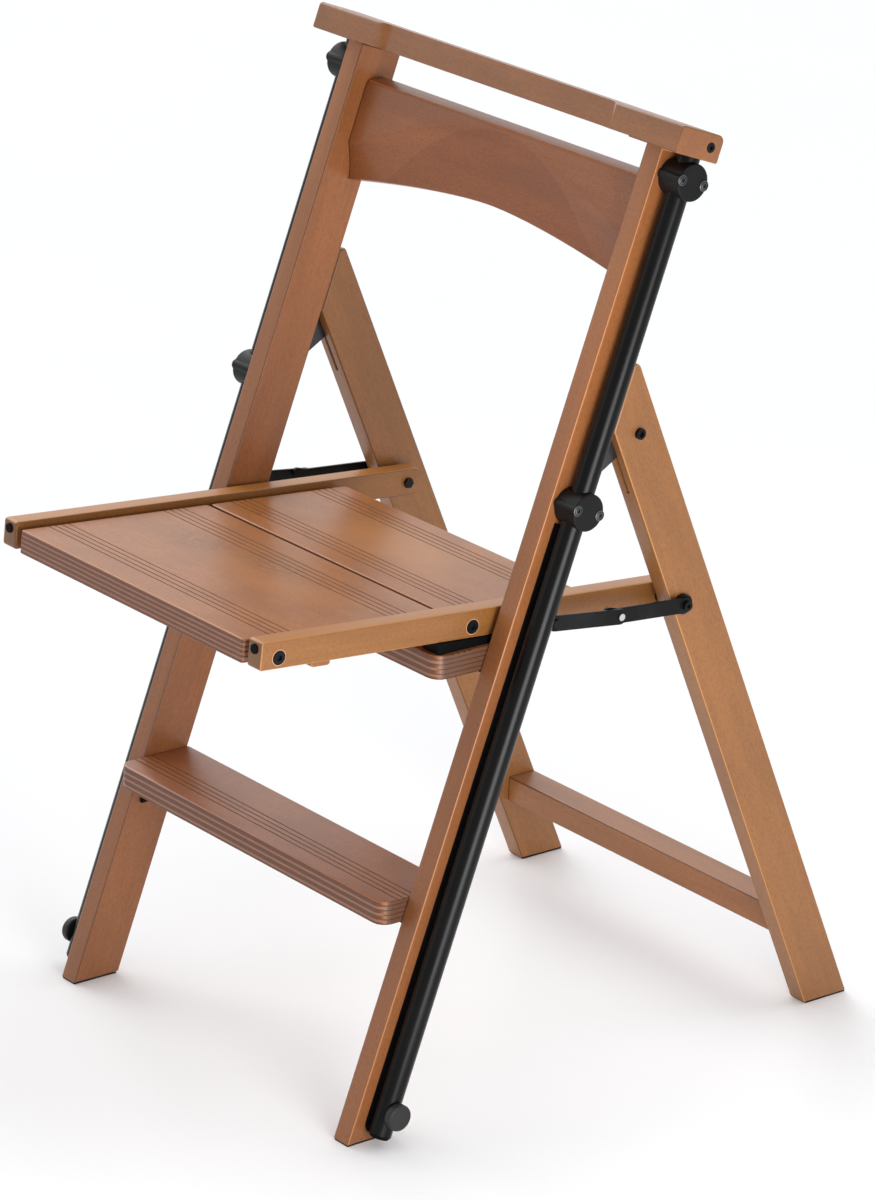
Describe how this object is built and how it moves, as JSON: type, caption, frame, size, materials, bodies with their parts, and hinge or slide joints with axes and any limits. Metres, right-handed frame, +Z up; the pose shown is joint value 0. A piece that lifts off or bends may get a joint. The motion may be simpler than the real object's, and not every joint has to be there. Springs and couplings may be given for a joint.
{
  "type": "folding step stool chair",
  "caption": "Folding wooden chair and step stool: grooved seat, treads between leaning front legs, hinged rear legs with folding stays, and a lifting handle on side tubes.",
  "frame": {"origin": "on the floor, under the middle of the chair's bounding box", "axes": "+Z up, -Y towards the front that a sitter faces, +X to the right of someone looking at the front"},
  "size_m": [0.4952, 0.6734, 0.8715],
  "materials": {
    "batten_wood": "stained beech, satin lacquer",
    "bolt_black": "black bolts",
    "bracket_black": "black angle",
    "channel_black": "black channel liner",
    "clamp_plastic": "matt dark grey plastic",
    "hinge_steel": "dark steel plate",
    "knob_plastic": "matt dark grey plastic",
    "leg_wood": "stained beech, satin lacquer",
    "pad_rubber": "black rubber",
    "plug_plastic": "black plastic",
    "rail_wood": "stained beech, satin lacquer",
    "rivet_steel": "bright rivet",
    "seat_plywood": "stained plywood, satin lacquer",
    "slat_wood": "stained beech, satin lacquer",
    "stay_black": "satin black strip, lightly scratched",
    "stretcher_wood": "stained beech, satin lacquer",
    "top_rail_wood": "stained beech, satin lacquer",
    "tread_plywood": "stained plywood, satin lacquer",
    "tube_black": "satin black tube"
  },
  "bodies": {
    "front_frame": {"front_leg_left": "leg_wood", "front_leg_right": "leg_wood", "back_slat": "slat_wood", "lower_tread": "tread_plywood", "upper_tread": "tread_plywood", "hinge_plate_left": "hinge_steel", "hinge_plate_right": "hinge_steel", "guide_channel_left": "channel_black", "guide_channel_right": "channel_black", "top_guide_clamp_left": "clamp_plastic", "top_guide_clamp_right": "clamp_plastic", "middle_guide_clamp_left": "clamp_plastic", "middle_guide_clamp_right": "clamp_plastic", "stay_front_bolt_left": "bolt_black", "stay_front_bolt_right": "bolt_black", "lower_tread_bracket_left": "bracket_black", "lower_tread_bracket_right": "bracket_black", "upper_tread_bracket_left": "bracket_black", "upper_tread_bracket_right": "bracket_black", "seat_rest_left": "pad_rubber", "seat_rest_right": "pad_rubber", "front_foot_pad_left": "pad_rubber", "front_foot_pad_right": "pad_rubber"},
    "rear_frame": {"rear_leg_left": "leg_wood", "rear_leg_right": "leg_wood", "rear_stretcher": "stretcher_wood", "hinge_bolt_left": "bolt_black", "hinge_bolt_right": "bolt_black", "seat_pivot_bolt_left": "bolt_black", "seat_pivot_bolt_right": "bolt_black", "rear_foot_pad_left": "pad_rubber", "rear_foot_pad_right": "pad_rubber"},
    "seat": {"seat_rail_left": "rail_wood", "seat_rail_right": "rail_wood", "front_seat_panel": "seat_plywood", "rear_seat_panel": "seat_plywood", "front_batten": "batten_wood", "rear_batten": "batten_wood", "front_seat_bolt_left": "bolt_black", "front_seat_bolt_right": "bolt_black", "rear_seat_bolt_left": "bolt_black", "rear_seat_bolt_right": "bolt_black", "rail_buffer_left": "plug_plastic", "rail_buffer_right": "plug_plastic"},
    "handle": {"top_rail": "top_rail_wood", "handle_tube_left": "tube_black", "handle_tube_right": "tube_black", "tube_plug_left": "plug_plastic", "tube_plug_right": "plug_plastic", "handle_screw_left": "bolt_black", "handle_screw_right": "bolt_black"},
    "stay_front_left": {"stay_front_link_left": "stay_black", "stay_rivet_left": "rivet_steel"},
    "stay_rear_left": {"stay_rear_link_left": "stay_black"},
    "knob_left": {"lock_knob_left": "knob_plastic"},
    "stay_front_right": {"stay_front_link_right": "stay_black", "stay_rivet_right": "rivet_steel"},
    "stay_rear_right": {"stay_rear_link_right": "stay_black"},
    "knob_right": {"lock_knob_right": "knob_plastic"}
  },
  "joints": [
    {"name": "rear_frame_fold", "type": "hinge", "parent": "front_frame", "child": "rear_frame", "pos_m": [0, 0.04251, 0.59403], "axis": [-1, 0, 0], "range_deg": [0, 43.8]},
    {"name": "seat_lift", "type": "hinge", "parent": "rear_frame", "child": "seat", "pos_m": [0, 0.10226, 0.42842], "axis": [-1, 0, 0], "range_deg": [0, 49.6]},
    {"name": "handle_raise", "type": "slide", "parent": "front_frame", "child": "handle", "axis": [0, 0.3322, 0.9432], "range_m": [0, 0.48]},
    {"name": "stay_front_left", "type": "hinge", "parent": "front_frame", "child": "stay_front_left", "pos_m": [-0.222, -0.04967, 0.44276], "axis": [1, 0, 0], "range_deg": [0, 71.08]},
    {"name": "stay_rear_left", "type": "hinge", "parent": "rear_frame", "child": "stay_rear_left", "pos_m": [-0.219, 0.10226, 0.42842], "axis": [-1, 0, 0], "range_deg": [0, 51.05]},
    {"name": "knob_left", "type": "hinge", "parent": "handle", "child": "knob_left", "pos_m": [-0.24, -0.21367, 0.03063], "axis": [-1, 0, 0], "range_deg": [0, 360]},
    {"name": "stay_front_right", "type": "hinge", "parent": "front_frame", "child": "stay_front_right", "pos_m": [0.222, -0.04967, 0.44276], "axis": [1, 0, 0], "range_deg": [0, 71.08]},
    {"name": "stay_rear_right", "type": "hinge", "parent": "rear_frame", "child": "stay_rear_right", "pos_m": [0.219, 0.10226, 0.42842], "axis": [-1, 0, 0], "range_deg": [0, 51.05]},
    {"name": "knob_right", "type": "hinge", "parent": "handle", "child": "knob_right", "pos_m": [0.24, -0.21367, 0.03063], "axis": [1, 0, 0], "range_deg": [0, 360]}
  ],
  "couplings": [
    {"joint": "stay_front_left", "follows": "rear_frame_fold", "ratio": 1.6159},
    {"joint": "stay_rear_left", "follows": "rear_frame_fold", "ratio": 1.1587},
    {"joint": "stay_front_right", "follows": "rear_frame_fold", "ratio": 1.6159},
    {"joint": "stay_rear_right", "follows": "rear_frame_fold", "ratio": 1.1587}
  ]
}
